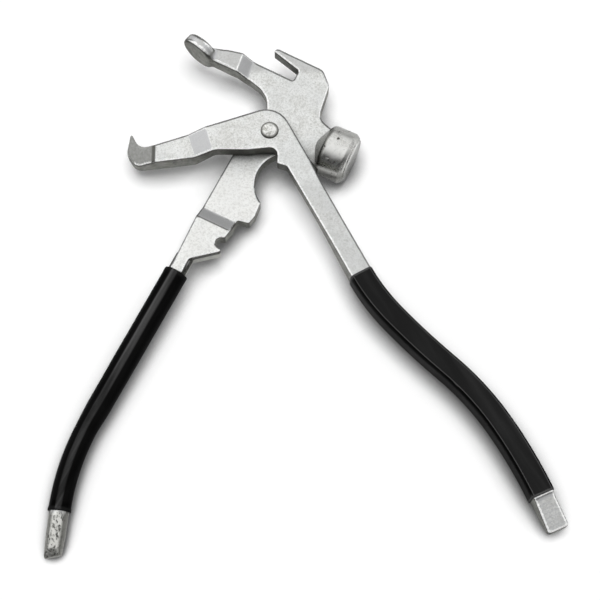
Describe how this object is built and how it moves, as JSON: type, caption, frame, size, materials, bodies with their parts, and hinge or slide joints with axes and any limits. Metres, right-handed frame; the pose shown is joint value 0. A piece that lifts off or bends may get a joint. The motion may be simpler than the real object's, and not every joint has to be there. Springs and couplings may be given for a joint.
{
  "type": "wheel weight pliers",
  "caption": "Riveted workshop pliers for clip-on wheel weights, with a hook jaw, a round pad jaw, a claw, a cutter, a striking hammer head and sleeved handles.",
  "frame": {"origin": "on the rivet's axis, half way between the two crossing levers", "axes": "+Z along the rivet towards its domed head, +Y from the handles towards the jaws, the tool lying flat with both levers in the XY plane"},
  "size_m": [0.2004, 0.2202, 0.0224],
  "materials": {
    "forged_steel": "shot blasted satin",
    "turned_steel": "turned satin",
    "rivet_steel": "satin",
    "sleeve": "glossy soft vinyl"
  },
  "bodies": {
    "hammer_side": {"hammer_lever": "forged_steel", "hammer_head": "turned_steel", "pivot_rivet": "rivet_steel", "hammer_lever_grip": "sleeve"},
    "hook_side": {"hook_lever": "forged_steel", "hook_lever_grip": "sleeve"}
  },
  "joints": [
    {"name": "jaw_hinge", "type": "hinge", "parent": "hammer_side", "child": "hook_side", "pos_m": [0, 0, 0], "axis": [0, 0, 1], "range_deg": [-46, 4.5]}
  ]
}
